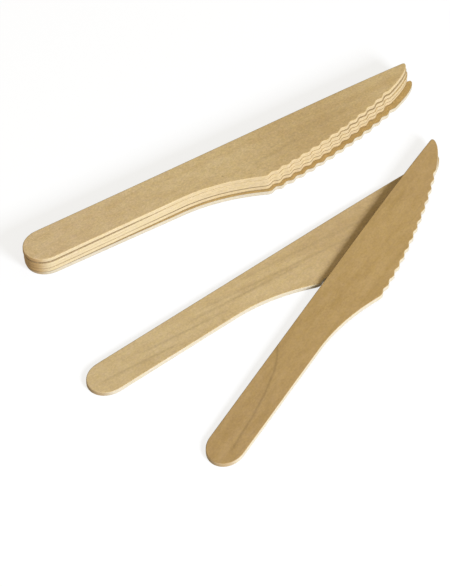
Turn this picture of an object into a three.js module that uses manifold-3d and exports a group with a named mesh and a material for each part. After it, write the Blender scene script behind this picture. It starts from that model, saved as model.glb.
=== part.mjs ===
// Throwaway birch knives: five in a stack and two crossed beside it.
// Millimetres, +Z up. The origin is on the table, under the middle of the whole set.
import * as THREE from "three";
import { mergeVertices } from "three/addons/utils/BufferGeometryUtils.js";
import Module from "manifold-3d";

const wasm = await Module();
wasm.setup();

// Knife, measured along its handle from the round end, with the back on the +Y side
const THICKNESS = 1.95;
const HANDLE_WIDTH = 13.9;
const HANDLE_END_DEPTH = 8.5;
const HANDLE_LENGTH = 61;
const NECK_BEND = 15.8;
const NECK_LENGTH = 32;
const HEEL_DROP = 7.1;
const HEEL_SOFTNESS = 1;

// Blade, from the heel to the point
const BLADE_LENGTH = 72.6;
const BELLY_REACH = 19;
const BELLY_DROP = 0.4;
const POINT_SWEEP = 9.8;
const POINT_LEAN = 0.4;
const POINT_SOFTNESS = 1.2;
const BACK_FALL = 0.9;
const BACK_FALL_LENGTH = 60;
const BACK_FALL_BEND = 40;

// Teeth along the cutting edge
const TOOTH_PITCH = 4.7;
const TOOTH_DEPTH = 0.7;
const TEETH_FROM_HEEL = 0.85;
const PLAIN_TO_POINT = 14;

// Clear air between a knife and the one that it lies on
const REST_GAP = 0.1;

// Where the round end of each handle lies, and which way the knife points, in degrees from +X
const STACK_PLACE = { x: -72.05, y: 10.3, turn: 31.1 };
const LOWER_PLACE = { x: -47.98, y: -44, turn: 38.4 };
const UPPER_PLACE = { x: -3.75, y: -76.7, turn: 59.1 };

// The stack from the table up: how far each knife has slipped along and across the stack,
// how far it is turned in degrees, and how far its two ends curl up
const STACK = [
  { slipAlong: 1.45, slipAcross: 0.9, turn: -1.15, curl: 0 },
  { slipAlong: 0.8, slipAcross: 0.45, turn: -0.15, curl: 0 },
  { slipAlong: 0.6, slipAcross: 0.5, turn: -0.3, curl: 0 },
  { slipAlong: 0.3, slipAcross: -0.05, turn: 0, curl: 0 },
  { slipAlong: 0, slipAcross: 0, turn: 0, curl: 0.35 },
];

// Fineness of the outline and of a curled sheet
const END_STEPS = 28;
const NECK_STEPS = 16;
const CORNER_STEPS = 6;
const STEPS_PER_TOOTH = 12;
const PLAIN_STEPS = 16;
const BACK_STEPS = 12;
const SHEET_STEPS = 24;
const SHEET_MARGIN = 2;

const PALE_BIRCH = new THREE.MeshStandardMaterial({ color: 0xc8b084, roughness: 0.75, metalness: 0 });
const OCHRE_BIRCH = new THREE.MeshStandardMaterial({ color: 0xb59661, roughness: 0.75, metalness: 0 });

const HALF_WIDTH = HANDLE_WIDTH / 2;
const HEEL_X = HANDLE_LENGTH + NECK_LENGTH;
const KNIFE_LENGTH = HEEL_X + BLADE_LENGTH;

// A closed geometry as a solid, with its shared corners merged
function solidFrom(geometry) {
  const bare = geometry.clone();
  bare.deleteAttribute("normal");
  bare.deleteAttribute("uv");
  const merged = mergeVertices(bare);
  const mesh = new wasm.Mesh({
    numProp: 3,
    vertProperties: new Float32Array(merged.attributes.position.array),
    triVerts: new Uint32Array(merged.index.array),
  });
  return new wasm.Manifold(mesh);
}

// A solid as a geometry with flat faces
function geometryFrom(solid) {
  const mesh = solid.getMesh();
  const shared = new THREE.BufferGeometry();
  shared.setAttribute("position", new THREE.BufferAttribute(mesh.vertProperties, 3));
  shared.setIndex(new THREE.BufferAttribute(mesh.triVerts, 1));
  const geometry = shared.toNonIndexed();
  geometry.computeVertexNormals();
  return geometry;
}

// Evenly spaced points on a curve between two distances from its start
function pointsAlong(curve, from, to, steps) {
  const length = curve.getLength();
  const points = [];
  for (let i = 0; i <= steps; i++) {
    points.push(curve.getPointAt((from + ((to - from) * i) / steps) / length));
  }
  return points;
}

// The round that replaces a sharp corner between two points
function softCorner(before, corner, after) {
  const round = new THREE.QuadraticBezierCurve(before, corner, after);
  return round.getPoints(CORNER_STEPS).slice(1, -1);
}

// The cutting edge from the heel to the point: shallow scallops, then a plain curve
function cuttingEdge(curve) {
  const length = curve.getLength();
  const count = Math.max(0, Math.floor((length - TEETH_FROM_HEEL - PLAIN_TO_POINT) / TOOTH_PITCH));
  const toothed = count * TOOTH_PITCH;
  const points = [];
  for (let i = 0; i <= count * STEPS_PER_TOOTH; i++) {
    const run = (i * TOOTH_PITCH) / STEPS_PER_TOOTH;
    const share = (TEETH_FROM_HEEL + run) / length;
    const dip = (TOOTH_DEPTH * (1 - Math.cos((2 * Math.PI * run) / TOOTH_PITCH))) / 2;
    const along = curve.getTangentAt(share);
    points.push(curve.getPointAt(share).add(new THREE.Vector2(-along.y * dip, along.x * dip)));
  }
  const plain = pointsAlong(curve, TEETH_FROM_HEEL + toothed, length - POINT_SOFTNESS, PLAIN_STEPS);
  return [...points, ...plain.slice(1)];
}

// The knife seen from above, counter-clockwise from the neck
function knifeOutline() {
  const heel = new THREE.Vector2(HEEL_X, -HALF_WIDTH - HEEL_DROP);
  const point = new THREE.Vector2(KNIFE_LENGTH, HALF_WIDTH - BACK_FALL);

  const neck = new THREE.QuadraticBezierCurve(
    new THREE.Vector2(HANDLE_LENGTH, -HALF_WIDTH),
    new THREE.Vector2(HANDLE_LENGTH + NECK_BEND, -HALF_WIDTH),
    heel,
  );
  const edge = new THREE.CubicBezierCurve(
    heel,
    new THREE.Vector2(heel.x + BELLY_REACH, heel.y - BELLY_DROP),
    new THREE.Vector2(point.x - POINT_LEAN, point.y - POINT_SWEEP),
    point,
  );
  const back = new THREE.QuadraticBezierCurve(
    point,
    new THREE.Vector2(KNIFE_LENGTH - BACK_FALL_LENGTH + BACK_FALL_BEND, HALF_WIDTH),
    new THREE.Vector2(KNIFE_LENGTH - BACK_FALL_LENGTH, HALF_WIDTH),
  );
  const end = new THREE.EllipseCurve(
    HANDLE_END_DEPTH, 0, HANDLE_END_DEPTH, HALF_WIDTH, Math.PI / 2, (3 * Math.PI) / 2, false, 0,
  );

  const neckPoints = pointsAlong(neck, 0, neck.getLength() - HEEL_SOFTNESS, NECK_STEPS);
  const edgePoints = cuttingEdge(edge);
  const backPoints = pointsAlong(back, POINT_SOFTNESS, back.getLength(), BACK_STEPS);
  return new THREE.Shape([
    ...neckPoints,
    ...softCorner(neckPoints.at(-1), heel, edgePoints[0]),
    ...edgePoints,
    ...softCorner(edgePoints.at(-1), point, backPoints[0]),
    ...backPoints,
    ...end.getPoints(END_STEPS),
  ]);
}

// The punch that cuts a knife: its outline, taller than any curled sheet
function knifePunch(curl) {
  const depth = THICKNESS + curl + 2 * SHEET_MARGIN;
  const geometry = new THREE.ExtrudeGeometry(knifeOutline(), { depth, bevelEnabled: false });
  return geometry.translate(0, 0, -SHEET_MARGIN);
}

// A sheet of veneer that curls up towards both ends of the knife
function veneerSheet(curl) {
  const middle = KNIFE_LENGTH / 2;
  const under = [];
  for (let i = 0; i <= SHEET_STEPS; i++) {
    const x = -SHEET_MARGIN + ((KNIFE_LENGTH + 2 * SHEET_MARGIN) * i) / SHEET_STEPS;
    under.push(new THREE.Vector2(x, curl * ((x - middle) / middle) ** 2));
  }
  const over = under.map((p) => new THREE.Vector2(p.x, p.y + THICKNESS)).reverse();
  const section = new THREE.Shape([...under, ...over]);
  const depth = 2 * (HALF_WIDTH + HEEL_DROP + SHEET_MARGIN);
  const geometry = new THREE.ExtrudeGeometry(section, { depth, bevelEnabled: false });
  return geometry.rotateX(Math.PI / 2).translate(0, depth / 2, 0);
}

// One knife, punched out of its sheet
function knife(name, curl, material) {
  const solid = solidFrom(veneerSheet(curl)).intersect(solidFrom(knifePunch(curl)));
  const mesh = new THREE.Mesh(geometryFrom(solid), material);
  mesh.name = name;
  return mesh;
}

// Knives on each other, each clear of the curl of the one below
function knifeStack() {
  const stack = new THREE.Group();
  let height = 0;
  let curlBelow = 0;
  STACK.forEach(({ slipAlong, slipAcross, turn, curl }, i) => {
    if (i > 0) {
      height += THICKNESS + REST_GAP + Math.max(0, curlBelow - curl);
    }
    const mesh = knife(`stack_knife_${i + 1}`, curl, PALE_BIRCH);
    mesh.position.set(slipAlong, slipAcross, height);
    mesh.rotation.z = THREE.MathUtils.degToRad(turn);
    stack.add(mesh);
    curlBelow = curl;
  });
  stack.position.set(STACK_PLACE.x, STACK_PLACE.y, 0);
  stack.rotation.z = THREE.MathUtils.degToRad(STACK_PLACE.turn);
  return stack;
}

// Lays a knife on the table with its handle end at a place
function layDown(mesh, place) {
  mesh.position.set(place.x, place.y, 0);
  mesh.rotation.set(0, 0, THREE.MathUtils.degToRad(place.turn), "ZYX");
  mesh.updateMatrixWorld(true);
}

// How far from its handle end the upper knife first passes over the lower one
function crossingDistance(lower, upper) {
  const lowerAsSeenFromUpper = upper.matrixWorld.clone().invert().multiply(lower.matrixWorld);
  const under = solidFrom(knifePunch(0).applyMatrix4(lowerAsSeenFromUpper));
  const shared = under.intersect(solidFrom(knifePunch(0)));
  if (shared.isEmpty()) {
    return Infinity;
  }
  const box = new THREE.Box3().setFromBufferAttribute(geometryFrom(shared).attributes.position);
  return box.min.x;
}

// The lower knife lies flat. The upper one rests on the end of its own handle and on the lower one.
function crossedPair() {
  const pair = new THREE.Group();
  const lower = knife("loose_knife_lower", 0, PALE_BIRCH);
  const upper = knife("loose_knife_upper", 0, OCHRE_BIRCH);
  layDown(lower, LOWER_PLACE);
  layDown(upper, UPPER_PLACE);
  upper.rotation.y = -Math.asin((THICKNESS + REST_GAP) / crossingDistance(lower, upper));
  pair.add(lower, upper);
  return pair;
}

// Puts the origin on the table under the middle of everything
function centreOnTable(group) {
  group.updateMatrixWorld(true);
  const box = new THREE.Box3().setFromObject(group, true);
  const middle = box.getCenter(new THREE.Vector3());
  group.position.set(-middle.x, -middle.y, -box.min.z);
  return group;
}

const group = new THREE.Group();
group.name = "wooden_knife_pack";
group.add(knifeStack(), crossedPair());
centreOnTable(group);

export default group;
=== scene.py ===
import math

import bmesh
import bpy
from mathutils import Matrix, Vector


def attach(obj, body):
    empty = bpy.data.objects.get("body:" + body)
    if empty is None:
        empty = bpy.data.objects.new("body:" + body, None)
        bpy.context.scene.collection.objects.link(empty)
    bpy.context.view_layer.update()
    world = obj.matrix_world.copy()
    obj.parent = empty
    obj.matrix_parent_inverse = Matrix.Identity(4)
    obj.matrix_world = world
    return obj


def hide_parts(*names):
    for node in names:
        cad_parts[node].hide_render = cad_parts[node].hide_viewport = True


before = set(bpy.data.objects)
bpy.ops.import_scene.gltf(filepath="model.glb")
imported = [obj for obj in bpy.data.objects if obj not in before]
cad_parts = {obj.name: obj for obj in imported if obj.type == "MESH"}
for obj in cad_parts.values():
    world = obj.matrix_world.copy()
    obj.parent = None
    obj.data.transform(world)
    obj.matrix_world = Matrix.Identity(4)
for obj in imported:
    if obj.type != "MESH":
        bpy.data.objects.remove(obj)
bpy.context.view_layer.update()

MM = 0.001
WHITE = (1.0, 1.0, 1.0, 1.0)

# Knife in millimetres: x runs from the round end of the handle to the point, the back is at +y
THICKNESS = 1.95
KNIFE_LENGTH = 165.6

# Sanded rims: the upper one of an open knife and of a covered one, and the lower one of every knife
OPEN_ROUNDING = 0.3
COVERED_ROUNDING = 0.12
LOWER_ROUNDING = 0.2
ROUNDING_STEPS = 3
CURL_STRIPS = 40

# Corners this near are one, a corner this near lies in a face, and nothing smaller is cut
SAME_CORNER = 0.04
ON_FACE = 0.001
SAME_CUT = 0.0001

# Faces that differ by less are one plane, and an edge that turns more is sharp
ONE_PLANE = math.radians(0.05)
SHARP_TURN = math.radians(60)

# How upright the normal of a flat face is at least, and that of a cut wall at most
FLAT_UPRIGHT = 0.999
WALL_UPRIGHT = 0.02

# Where the round end of each handle lies on the table, and which way the knife points, in degrees
STACK_PLACE = (-74.9401, -1.4546)
STACK_TURN = 31.1
LOWER_PLACE = (-50.8701, -55.7546)
LOWER_TURN = 38.4
UPPER_PLACE = (-6.6401, -88.4546)
UPPER_TURN = 59.1
UPPER_TILT = 0.0221685

# Camera: straight ahead of the table, looking down, its distance in metres, its lens in millimetres
VIEW_TARGET = Vector((-2.8901, -11.7546, 0.0)) * MM
VIEW_DISTANCE = 1.7992
VIEW_ELEVATION = math.radians(51.67)
VIEW_LENS = 306.64
SENSOR_WIDTH = 36.0
VIEW_RANGE = (0.05, 50.0)

# Light: one soft lamp at the front right, in metres, and an even, slightly warm sky
LAMP_DIRECTION = math.radians(42.0)
LAMP_ELEVATION = math.radians(32.0)
LAMP_DISTANCE = 1.5
LAMP_SIZE = 0.42
LAMP_POWER = 29.7
LAMP_COLOUR = (0.832, 0.886, 1.0)
SKY_LIGHT = 0.4
SKY_COLOUR = (1.0, 0.89, 0.66, 1.0)

# Table: its half width in metres, how far under the knives it lies in millimetres, how much light
# it throws on them, and how white it looks in light and in shadow
TABLE_REACH = 12.0
TABLE_DROP = 0.02
TABLE_BOUNCE = (0.5, 0.5, 0.5, 1.0)
TABLE_LIT = (0.24, 0.24, 0.24, 1.0)
TABLE_GLOW = 0.79


def linear(red, green, blue):
    """A colour as light, from the 0 to 255 that a screen shows."""
    shown = [level / 255 for level in (red, green, blue)]
    light = [s / 12.92 if s <= 0.04045 else ((s + 0.055) / 1.055) ** 2.4 for s in shown]
    return (*light, 1.0)


# Patterns of the veneer: how often in a millimetre along, across and through the sheet,
# then detail, roughness and distortion
PATTERNS = {
    "figure": ((0.02, 0.2, 0.2), 3.0, 0.5, 0.4),
    "bands": ((0.05, 0.8, 0.5), 3.0, 0.65, 0.0),
    "fibres": ((0.35, 4.2, 4.2), 3.0, 0.6, 0.0),
    "pores": ((0.6, 5.5, 5.5), 1.0, 0.5, 0.0),
    "mottle": ((0.16, 0.3, 0.3), 2.0, 0.55, 0.0),
    "speckle": ((1.1, 1.4, 1.4), 4.0, 0.8, 0.0),
    "warmth": ((0.5, 0.6, 0.6), 3.0, 0.7, 0.0),
    "wander": ((0.09, 0.3, 0.3), 2.0, 0.5, 0.0),
    "layers": ((0.12, 1.6, 3.4), 3.0, 0.6, 0.0),
}

# Between which levels a pattern goes from none to full
CONTRAST = {
    "figure": (0.35, 0.7),
    "bands": (0.5, 0.78),
    "pores": (0.6, 0.78),
    "mottle": (0.3, 0.72),
    "layers": (0.3, 0.75),
}

# How far apart the knives' sheets lie in those patterns
SHEET_STEP = (37.0, 11.0, 5.0)

# How much each pattern deepens the wood of a face, and how much darker or lighter it makes it
FIGURE_DEPTH = 0.45
MOTTLE_DEPTH = 0.45
WARMTH_DEPTH = 0.3
BAND_SHADE = 0.07
PORE_SHADE = 0.10
FIBRE_SHADE = 0.14
WARMTH_SHADE = 0.4

# How much of the face's light and dark is lost on a cut edge
CUT_CALM = 0.5

# Sanded feel: relief in millimetres, the share of each pattern in it, and how matt the wood is
RELIEF = 0.05
RELIEF_STRENGTH = 0.35
FIBRE_RELIEF = 0.6
PORE_RELIEF = 0.4
CUT_RELIEF = 0.8
ROUGHNESS = 0.66
FIBRE_ROUGHNESS = 0.14
SHINE = 0.3

# Faces, pale and deep: the birch of the stack and the lower knife, and the ochre of the upper one
FACES = {
    # The lowest knife of the stack is darker and browner: painted shade from the knives stacked on
    # it
    "stack_knife_1": (linear(192, 163, 108), linear(178, 149, 93)),
    "stack_knife_2": (linear(203, 179, 135), linear(188, 162, 114)),
    "stack_knife_3": (linear(207, 183, 138), linear(192, 166, 119)),
    "stack_knife_4": (linear(205, 181, 137), linear(190, 164, 117)),
    "stack_knife_5": (linear(207, 183, 137), linear(195, 168, 119)),
    "loose_knife_lower": (linear(208, 183, 136), linear(194, 167, 118)),
    "loose_knife_upper": (linear(183, 152, 101), linear(168, 137, 84)),
}

# Tints of the faces at the handle, in the middle, at the blade and at the point, and between
# which places along the knife one changes into the next
TONE_STEPS = [(15.0, 75.0), (80.0, 115.0), (125.0, 150.0)]
STACK_TONES = [
    (1.0, 0.98, 1.0, 1.0),
    (1.0, 0.99, 0.96, 1.0),
    (0.88, 0.83, 0.74, 1.0),
    (0.95, 0.92, 0.85, 1.0),
]
LOWER_TONES = [
    (0.96, 0.96, 0.96, 1.0),
    (0.98, 0.97, 0.95, 1.0),
    (0.88, 0.84, 0.80, 1.0),
    (0.88, 0.84, 0.80, 1.0),
]
UPPER_TONES = [
    (0.95, 0.94, 0.96, 1.0),
    (1.0, 1.0, 0.98, 1.0),
    (1.02, 1.02, 0.98, 1.0),
    (1.03, 1.03, 1.06, 1.0),
]

# Cut edges: pale and deep, and a tint for the sides of the handle. The end of the handle is
# browner. Both fade out between two places along the knife.
STACK_CUTS = (linear(217, 194, 151), linear(203, 179, 135), (1.07, 1.11, 1.16, 1.0))
LOOSE_CUTS = (linear(215, 203, 177), linear(206, 192, 164), WHITE)
END_GRAIN = (0.78, 0.64, 0.47, 1.0)
END_GRAIN_FADE = (1.2, 6.5)
HANDLE_TINT_FADE = (45.0, 80.0)
# Dark brown painted on the cut edges: painted shade in the joints of the stack and along the back
# rim
PAINTED_SHADE_COLOUR = linear(104, 76, 40)

# The rounding from a face (0) to the cut wall (1): where the colour of the cut begins, how ragged
# that border is, where the painted shade begins, and where the painted shade of the back's rim ends
RIM = (0.1, 0.6)
RIM_RAGGED = 0.25
SHADE_BEGINS = (0.0, 0.2)
RIM_SHADE_ENDS = (0.6, 1.0)

# Painted shade on the cut edges, in the shaded gaps of the joints and on the back rim: the heights
# of the bands next to the joint below and above, the side that is the back, and how dark they are at
# most
LOW_SHADE_BAND = (0.3, 0.55)
HIGH_SHADE_BAND = (1.72, 1.86)
BACK_SIDE = (5.2, 6.0)
JOINT_SHADE_DEPTH = 0.85
BACK_SHADE_DEPTH = 0.5

# Growth lines that cross a face: their course as growth_line reads it, from where to where
# along the knife, half width, and how much darker
LOWER_LINES = [
    ((3.2, -0.105), (22.0, 62.0), 0.5, 0.15),
    ((-0.4, -0.10), (2.0, 40.0), 0.45, 0.14),
    ((5.4, -0.09), (42.0, 96.0), 0.5, 0.13),
    ((9.4, -0.12), (50.0, 120.0), 0.5, 0.11),
    ((13.0, -0.11), (70.0, 140.0), 0.6, 0.09),
]
UPPER_LINES = [
    ((-3.05, 0.04, 7.2, 54.0, 12.3), (5.0, 60.0), 0.46, 0.2),
    ((-6.2, 0.04, 7.2, 51.0, 12.3), (22.0, 46.0), 0.6, 0.05),
]
STACK_TOP_LINES = [
    ((-18.0, 0.12), (88.0, 140.0), 0.9, 0.07),
    ((-14.5, 0.11), (98.0, 150.0), 0.7, 0.05),
]

# Over how far a growth line fades at both ends, and how far it wanders to the side
LINE_FADE = 6.0
LINE_WANDER = 0.9

# Small dark pin knots: place along and across the knife, radius, how much darker
STACK_TOP_KNOTS = [(79.5, -5.9, 0.4, 0.4)]
LOWER_KNOTS = [(17.0, 2.3, 0.55, 0.16), (56.0, -5.7, 0.45, 0.2)]

# The stack from the table up: slip along, slip across and height, then turn and curl
STACK = [
    ((1.45, 0.9, 0.0), -1.15, 0.0),
    ((0.8, 0.45, 2.05), -0.15, 0.0),
    ((0.6, 0.5, 4.1), -0.3, 0.0),
    ((0.3, -0.05, 6.15), 0.0, 0.0),
    ((0.0, 0.0, 8.2), 0.0, 0.35),
]

# How dark the painted shade in each joint of the stack is at the handle, in the middle and at the
# point, from the table up, and between which places along the knife that changes. The last one is
# the open top.
JOINT_STEPS = [(34.0, 62.0), (118.0, 138.0)]
STACK_JOINTS = [
    (0.15, 0.15, 0.15),
    (0.75, 0.6, 0.6),
    (0.3, 0.95, 0.9),
    (0.15, 0.05, 0.15),
    (0.9, 0.0, 0.9),
    (0.0, 0.0, 0.0),
]
NO_JOINTS = ((0.0, 0.0, 0.0), (0.0, 0.0, 0.0))


class Line:
    """A number, colour or direction that runs through a material, for use in plain arithmetic."""

    def __init__(self, tree, socket=None):
        self.tree = tree
        self.socket = socket

    def node(self, kind, settings, inputs, output=0):
        """A new node with its settings made first, then its sockets filled or linked."""
        made = self.tree.nodes.new(kind)
        for name, value in settings.items():
            setattr(made, name, value)
        for name, value in inputs.items():
            if isinstance(value, Line):
                self.tree.links.new(value.socket, made.inputs[name])
            else:
                made.inputs[name].default_value = value
        return Line(self.tree, made.outputs[output])

    def math(self, operation, *values, clamp=False):
        settings = {"operation": operation, "use_clamp": clamp}
        return self.node("ShaderNodeMath", settings, dict(enumerate(values)))

    def __add__(self, other):
        return self.math("ADD", self, other)

    def __radd__(self, other):
        return self.math("ADD", other, self)

    def __sub__(self, other):
        return self.math("SUBTRACT", self, other)

    def __rsub__(self, other):
        return self.math("SUBTRACT", other, self)

    def __mul__(self, other):
        return self.math("MULTIPLY", self, other)

    def __rmul__(self, other):
        return self.math("MULTIPLY", other, self)

    def __truediv__(self, other):
        return self.math("DIVIDE", self, other)

    def raised(self):
        """e to the power of this line."""
        return self.math("EXPONENT", self)

    def clamped(self):
        return self.math("ADD", self, 0.0, clamp=True)

    def eased(self, low, high):
        """0 below low, 1 above high, and a soft step in between."""
        settings = {"interpolation_type": "SMOOTHSTEP", "clamp": True}
        inputs = {"Value": self, "From Min": low, "From Max": high, "To Min": 0.0, "To Max": 1.0}
        return self.node("ShaderNodeMapRange", settings, inputs)

    def mixed(self, first, second):
        """The first colour where this line is 0 and the second where it is 1."""
        settings = {"data_type": "RGBA", "blend_type": "MIX"}
        return self.node("ShaderNodeMix", settings, {0: self, 6: first, 7: second}, output=2)

    def tinted(self, tint):
        """This colour multiplied by another."""
        settings = {"data_type": "RGBA", "blend_type": "MULTIPLY"}
        return self.node("ShaderNodeMix", settings, {0: 1.0, 6: self, 7: tint}, output=2)

    def moved(self, operation, x, y, z):
        """A place with three numbers added to it or multiplied into it."""
        return self.node("ShaderNodeVectorMath", {"operation": operation}, {0: self, 1: (x, y, z)})

    def pattern(self, name):
        """One of the veneer's patterns at this place."""
        often, detail, roughness, distortion = PATTERNS[name]
        inputs = {
            "Vector": self.moved("MULTIPLY", *often),
            "Scale": 1.0,
            "Detail": detail,
            "Roughness": roughness,
            "Distortion": distortion,
        }
        return self.node("ShaderNodeTexNoise", {"noise_dimensions": "3D"}, inputs)


def knife_frame(place, turn, slip=(0.0, 0.0, 0.0), slip_turn=0.0, tilt=0.0):
    """The place of a knife's own millimetres on the table."""
    laid = Matrix.Translation((*place, 0.0)) @ Matrix.Rotation(math.radians(turn), 4, "Z")
    slipped = Matrix.Translation(slip) @ Matrix.Rotation(math.radians(slip_turn), 4, "Z")
    return laid @ slipped @ Matrix.Rotation(-tilt, 4, "Y")


def growth_line(x, y, course, span, width):
    """A soft line along y = a + b x, or along that + d e^((x - f) / g), between two distances."""
    a, b, *bend = course
    middle = a + b * x
    if bend:
        d, f, g = bend
        middle = middle + d * ((x - f) / g).raised()
    off = (y - middle) / width
    bell = (-1.0 * off * off).raised()
    first, last = span
    begun = x.eased(first, first + LINE_FADE)
    ended = x.eased(last - LINE_FADE, last)
    return bell * begun * (1.0 - ended)


def pin_knot(x, y, knot_x, knot_y, radius):
    """A soft round spot."""
    off_x, off_y = (x - knot_x) / radius, (y - knot_y) / radius
    return (-1.0 * (off_x * off_x + off_y * off_y)).raised()


def tone_along(x, tones):
    """A tint that changes softly from the handle to the point."""
    tint = tones[0]
    for step, following in zip(TONE_STEPS, tones[1:]):
        tint = x.eased(*step).mixed(tint, following)
    return tint


def joint_along(x, shares):
    """How dark the painted shade of a joint is from the handle to the point."""
    handle, middle, point = shares
    to_middle, to_point = [x.eased(*step) for step in JOINT_STEPS]
    return handle + (middle - handle) * to_middle + (point - middle) * to_point


def face_colour(x, veneer, warmth, faces, tones, ring_angle):
    """Two woods mixed by the figure of the growth rings, which run at a slight angle."""
    turned = {"Vector": veneer, "Rotation": (0.0, 0.0, math.radians(ring_angle))}
    ringed = veneer.node("ShaderNodeMapping", {"vector_type": "POINT"}, turned)
    figure = ringed.pattern("figure").eased(*CONTRAST["figure"])
    mottle = veneer.pattern("mottle").eased(*CONTRAST["mottle"])
    depth = FIGURE_DEPTH * figure + MOTTLE_DEPTH * mottle + WARMTH_DEPTH * (warmth - 0.5)
    colour = depth.clamped().mixed(*faces).tinted(tone_along(x, tones))
    return colour, ringed.pattern("bands").eased(*CONTRAST["bands"])


def face_shade(x, y, veneer, fibres, pores, bands, speckled, lines, knots):
    """How light the face is: bands, pores, fibres and speckle, then growth lines and pin knots."""
    shade = 1.0 - BAND_SHADE * bands - PORE_SHADE * pores.eased(*CONTRAST["pores"])
    shade = shade * (1.0 - FIBRE_SHADE / 2 + FIBRE_SHADE * fibres)
    shade = shade * (1.0 + speckled * (veneer.pattern("speckle") - 0.5))
    if lines:
        wavy_y = y + LINE_WANDER * (veneer.pattern("wander") - 0.5)
    for course, span, width, strength in lines:
        shade = shade * (1.0 - strength * growth_line(x, wavy_y, course, span, width))
    for knot_x, knot_y, radius, strength in knots:
        shade = shade * (1.0 - strength * pin_knot(x, y, knot_x, knot_y, radius))
    return shade


def cut_colour(x, layers, cuts):
    """The pale wood of a cut edge, with browner end grain at the end of the handle."""
    pale, deep, handle_tint = cuts
    side = layers.eased(*CONTRAST["layers"]).mixed(pale, deep)
    along = x.eased(*HANDLE_TINT_FADE).mixed(handle_tint, WHITE)
    return side.tinted(x.eased(*END_GRAIN_FADE).mixed(END_GRAIN, along))


def painted_joint_shade(x, y, z, cut, joints, curl):
    """How much painted shade darkens a cut edge, next to the joints below and above it and along the
    back.
    """
    from_middle = x / (KNIFE_LENGTH / 2) - 1.0
    height = z - curl * from_middle * from_middle
    below, above = joints
    low_edge = (1.0 - height.eased(*LOW_SHADE_BAND)) * joint_along(x, below)
    high_edge = height.eased(*HIGH_SHADE_BAND) * joint_along(x, above)
    on_cut = cut.eased(*SHADE_BEGINS)
    # Painted shade along the back's rim, which faces away from the lamp
    back_rim = on_cut * (1.0 - cut.eased(*RIM_SHADE_ENDS)) * y.eased(*BACK_SIDE)
    return (JOINT_SHADE_DEPTH * on_cut * (low_edge + high_edge) + BACK_SHADE_DEPTH * back_rim).clamped()


def birch(
    name,
    place,
    seed,
    faces,
    cuts,
    tones,
    ring_angle,
    joints=NO_JOINTS,
    curl=0.0,
    speckled=1.0,
    lines=(),
    knots=(),
):
    """Bare birch veneer: grain along the knife, paler where it is cut, with painted shade next to a
    joint.
    """
    material = bpy.data.materials.new(name)
    material.use_nodes = True
    tree = material.node_tree
    shader = tree.nodes["Principled BSDF"]
    start = Line(tree)

    # The knife's own millimetres, and its place in the patterns
    spot = start.node("ShaderNodeTexCoord", {}, {}, output="Object")
    laid = {
        "Vector": spot,
        "Location": place.to_translation() * MM,
        "Rotation": place.to_euler(),
        "Scale": (MM, MM, MM),
    }
    own = start.node("ShaderNodeMapping", {"vector_type": "TEXTURE"}, laid)
    x, y, z = [
        start.node("ShaderNodeSeparateXYZ", {}, {"Vector": own}, output=axis) for axis in "XYZ"
    ]
    veneer = own.moved("ADD", *(seed * step for step in SHEET_STEP))
    fibres, pores, warmth, layers = [
        veneer.pattern(kind) for kind in ("fibres", "pores", "warmth", "layers")
    ]

    # The rim is where the face turns into the cut edge, a little ragged along the fibres
    cut = start.node("ShaderNodeAttribute", {"attribute_name": "cut_edge"}, {}, output="Fac")
    rim = (cut + RIM_RAGGED * (fibres - 0.5)).eased(*RIM)
    face, bands = face_colour(x, veneer, warmth, faces, tones, ring_angle)
    clean = rim.mixed(face, cut_colour(x, layers, cuts))
    # Painted shade: the cut edge turns dark brown next to the joints and along the back rim
    shaded_wood = painted_joint_shade(x, y, z, cut, joints, curl).mixed(clean, PAINTED_SHADE_COLOUR)

    # Light and dark, which are weaker on the cut edge, and warmer and cooler places
    shade = face_shade(x, y, veneer, fibres, pores, bands, speckled, lines, knots)
    shade = shade + rim * (CUT_CALM - CUT_CALM * shade)
    warm = shade * (1.0 - WARMTH_SHADE / 2 + WARMTH_SHADE * warmth)
    tint = start.node("ShaderNodeCombineColor", {}, {0: shade, 1: shade, 2: warm})

    # Raised fibres on the faces and a rougher cut
    height = FIBRE_RELIEF * fibres + PORE_RELIEF * pores + CUT_RELIEF * cut * layers
    raised = {"Strength": RELIEF_STRENGTH, "Distance": RELIEF * MM, "Height": height}
    relief = start.node("ShaderNodeBump", {}, raised)
    matt = ROUGHNESS + FIBRE_ROUGHNESS * fibres
    tree.links.new(shaded_wood.tinted(tint).socket, shader.inputs["Base Color"])
    tree.links.new(matt.socket, shader.inputs["Roughness"])
    tree.links.new(relief.socket, shader.inputs["Normal"])
    shader.inputs["Specular IOR Level"].default_value = SHINE
    return material


def rounded_rims(blank, level, offset):
    """Rounds the sharp edges that run round one face of a flat blank."""
    rims = [
        edge
        for edge in blank.edges
        if all(abs(corner.co.z - level) < ON_FACE for corner in edge.verts)
        and edge.calc_face_angle(0.0) > SHARP_TURN
    ]
    bmesh.ops.bevel(
        blank,
        geom=rims,
        offset=offset,
        offset_type="OFFSET",
        segments=ROUNDING_STEPS,
        profile=0.5,
        affect="EDGES",
        material=-1,
        clamp_overlap=False,
    )


def surface_kind(face):
    """Tells a flat face, the cut wall and the rounding between them apart."""
    upright = abs(face.normal.z)
    if upright > FLAT_UPRIGHT:
        return "flat"
    if upright < WALL_UPRIGHT:
        return "wall"
    return "rounding"


def is_crease(edge):
    """True where the rounding starts and ends, so that faces and cut stay plain."""
    kinds = {surface_kind(face) for face in edge.link_faces}
    return len(kinds) == 2


def lift(x, curl):
    """How high the curl lifts the knife at a distance from its end."""
    return curl * (x / (KNIFE_LENGTH / 2) - 1.0) ** 2


def curl_up(blank, curl):
    """Cuts a blank into strips across its length and lifts its two ends."""
    for strip in range(1, CURL_STRIPS):
        bmesh.ops.bisect_plane(
            blank,
            geom=[*blank.verts, *blank.edges, *blank.faces],
            dist=SAME_CUT,
            plane_co=(KNIFE_LENGTH * strip / CURL_STRIPS, 0.0, 0.0),
            plane_no=(1.0, 0.0, 0.0),
        )
    for corner in blank.verts:
        corner.co.z += lift(corner.co.x, curl)


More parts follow.
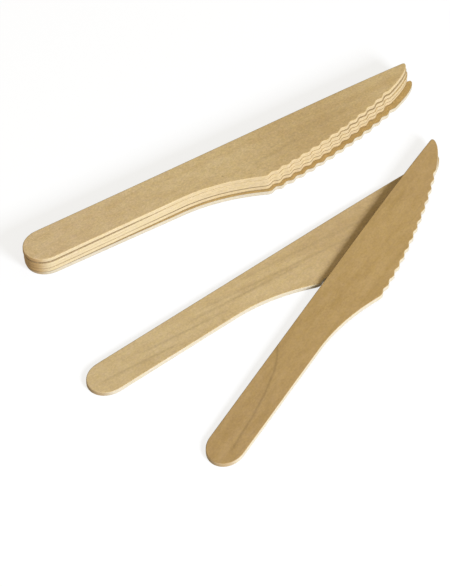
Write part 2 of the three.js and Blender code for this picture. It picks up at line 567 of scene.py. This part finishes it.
def rounded_knife(name, node, place, curl, rounding, material):
    """A knife with its punched outline from the part and its sharp edges sanded round."""
    blank = bmesh.new()
    blank.from_mesh(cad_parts[node].data)
    to_table = Matrix.Scale(MM, 4) @ place
    bmesh.ops.transform(blank, matrix=to_table.inverted(), verts=blank.verts)
    bmesh.ops.remove_doubles(blank, verts=blank.verts, dist=SAME_CORNER)

    # Laid flat, so that each face is one clean plane
    for corner in blank.verts:
        on_top = corner.co.z - lift(corner.co.x, curl) > THICKNESS / 2
        corner.co.z = THICKNESS if on_top else 0.0
    bmesh.ops.dissolve_limit(
        blank, angle_limit=ONE_PLANE, verts=blank.verts, edges=blank.edges
    )
    bmesh.ops.recalc_face_normals(blank, faces=blank.faces)

    rounded_rims(blank, THICKNESS, rounding)
    rounded_rims(blank, 0.0, LOWER_ROUNDING)
    cut_edge = blank.verts.layers.float.new("cut_edge")
    for corner in blank.verts:
        share = min(corner.co.z / LOWER_ROUNDING, (THICKNESS - corner.co.z) / rounding)
        corner[cut_edge] = min(1.0, share)
    for face in blank.faces:
        face.smooth = True
    for edge in blank.edges:
        edge.smooth = not is_crease(edge)
    if curl:
        curl_up(blank, curl)

    bmesh.ops.transform(blank, matrix=to_table, verts=blank.verts)
    mesh = bpy.data.meshes.new(name)
    blank.to_mesh(mesh)
    blank.free()
    mesh.materials.append(material)
    piece = bpy.data.objects.new(name, mesh)
    bpy.context.scene.collection.objects.link(piece)
    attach(piece, "root")
    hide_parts(node)


def stack_of_knives():
    """Five knives on each other. The lowest one's cut edge is as pale as those of the loose ones."""
    for number, (slip, turn, curl) in enumerate(STACK, start=1):
        node = f"stack_knife_{number}"
        place = knife_frame(STACK_PLACE, STACK_TURN, slip, turn)
        on_top = number == len(STACK)
        veneer = birch(
            f"birch_stack_{number}",
            place,
            seed=number,
            faces=FACES[node],
            cuts=LOOSE_CUTS if number == 1 else STACK_CUTS,
            tones=STACK_TONES,
            ring_angle=2.0,
            joints=STACK_JOINTS[number - 1 : number + 1],
            curl=curl,
            lines=STACK_TOP_LINES if on_top else (),
            knots=STACK_TOP_KNOTS if on_top else (),
        )
        rounding = OPEN_ROUNDING if on_top else COVERED_ROUNDING
        name = f"stacked_knife_{number}"
        rounded_knife(name, node, place, curl, rounding, veneer)


def crossed_knives():
    """The lower knife lies flat. The upper one leans on it, from the end of its own handle."""
    node = "loose_knife_lower"
    place = knife_frame(LOWER_PLACE, LOWER_TURN)
    veneer = birch(
        "birch_lower",
        place,
        seed=6,
        faces=FACES[node],
        cuts=LOOSE_CUTS,
        tones=LOWER_TONES,
        ring_angle=6.0,
        speckled=0.75,
        lines=LOWER_LINES,
        knots=LOWER_KNOTS,
    )
    rounded_knife("crossed_knife_lower", node, place, 0.0, OPEN_ROUNDING, veneer)

    node = "loose_knife_upper"
    place = knife_frame(UPPER_PLACE, UPPER_TURN, tilt=UPPER_TILT)
    veneer = birch(
        "birch_upper",
        place,
        seed=9,
        faces=FACES[node],
        cuts=LOOSE_CUTS,
        tones=UPPER_TONES,
        ring_angle=1.0,
        speckled=0.6,
        lines=UPPER_LINES,
    )
    rounded_knife("crossed_knife_upper", node, place, 0.0, OPEN_ROUNDING, veneer)


def seen_directly(start):
    """1 for what the eye sees straight on, mirrored or through glass."""
    camera, mirrored, through = [
        start.node("ShaderNodeLightPath", {}, {}, output=f"Is {kind} Ray")
        for kind in ("Camera", "Glossy", "Transmission")
    ]
    return (camera + mirrored + through).clamped()


def white_table():
    """A plain white table that keeps a soft shadow."""
    material = bpy.data.materials.new("white_table")
    material.use_nodes = True
    tree = material.node_tree
    tree.nodes.remove(tree.nodes["Principled BSDF"])
    start = Line(tree)
    plain = start.node("ShaderNodeBsdfDiffuse", {}, {"Color": TABLE_BOUNCE})
    lit = start.node("ShaderNodeBsdfDiffuse", {}, {"Color": TABLE_LIT})
    glow = start.node("ShaderNodeEmission", {}, {"Color": WHITE, "Strength": TABLE_GLOW})
    bright = start.node("ShaderNodeAddShader", {}, {0: lit, 1: glow})
    seen = seen_directly(start)
    both = start.node("ShaderNodeMixShader", {}, {0: seen, 1: plain, 2: bright})
    tree.links.new(both.socket, tree.nodes["Material Output"].inputs["Surface"])

    top = bmesh.new()
    under = Matrix.Translation((0.0, 0.0, -TABLE_DROP * MM))
    bmesh.ops.create_grid(top, x_segments=1, y_segments=1, size=TABLE_REACH, matrix=under)
    mesh = bpy.data.meshes.new("table")
    top.to_mesh(mesh)
    top.free()
    mesh.materials.append(material)
    table = bpy.data.objects.new("table", mesh)
    bpy.context.scene.collection.objects.link(table)


def pale_sky():
    """An even sky that looks white and lights the knives softly."""
    world = bpy.data.worlds.new("pale_sky")
    world.use_nodes = True
    bpy.context.scene.world = world
    tree = world.node_tree
    seen = seen_directly(Line(tree))
    background = tree.nodes["Background"]
    tree.links.new(seen.mixed(SKY_COLOUR, WHITE).socket, background.inputs["Color"])
    strength = SKY_LIGHT + (1.0 - SKY_LIGHT) * seen
    tree.links.new(strength.socket, background.inputs["Strength"])


def soft_lamp():
    """A large soft lamp at the front right."""
    lamp = bpy.data.lights.new("soft_lamp", "AREA")
    lamp.shape = "SQUARE"
    lamp.size = LAMP_SIZE
    lamp.energy = LAMP_POWER
    lamp.color = LAMP_COLOUR
    level = math.cos(LAMP_ELEVATION)
    right, ahead = math.sin(LAMP_DIRECTION), math.cos(LAMP_DIRECTION)
    away = Vector((right * level, -ahead * level, math.sin(LAMP_ELEVATION)))
    stand = bpy.data.objects.new("soft_lamp", lamp)
    stand.location = away * LAMP_DISTANCE
    stand.rotation_euler = away.to_track_quat("Z", "Y").to_euler()
    bpy.context.scene.collection.objects.link(stand)


def photo_camera():
    """A long lens that looks down on the table from straight ahead."""
    lens = bpy.data.cameras.new("photo_camera")
    lens.sensor_width = SENSOR_WIDTH
    lens.lens = VIEW_LENS
    lens.clip_start, lens.clip_end = VIEW_RANGE
    back = Vector((0.0, -math.cos(VIEW_ELEVATION), math.sin(VIEW_ELEVATION)))
    camera = bpy.data.objects.new("photo_camera", lens)
    camera.location = VIEW_TARGET + back * VIEW_DISTANCE
    camera.rotation_euler = (math.pi / 2 - VIEW_ELEVATION, 0.0, 0.0)
    bpy.context.scene.collection.objects.link(camera)
    bpy.context.scene.camera = camera


stack_of_knives()
crossed_knives()
white_table()
pale_sky()
soft_lamp()
photo_camera()
bpy.context.scene.view_settings.view_transform = "Standard"
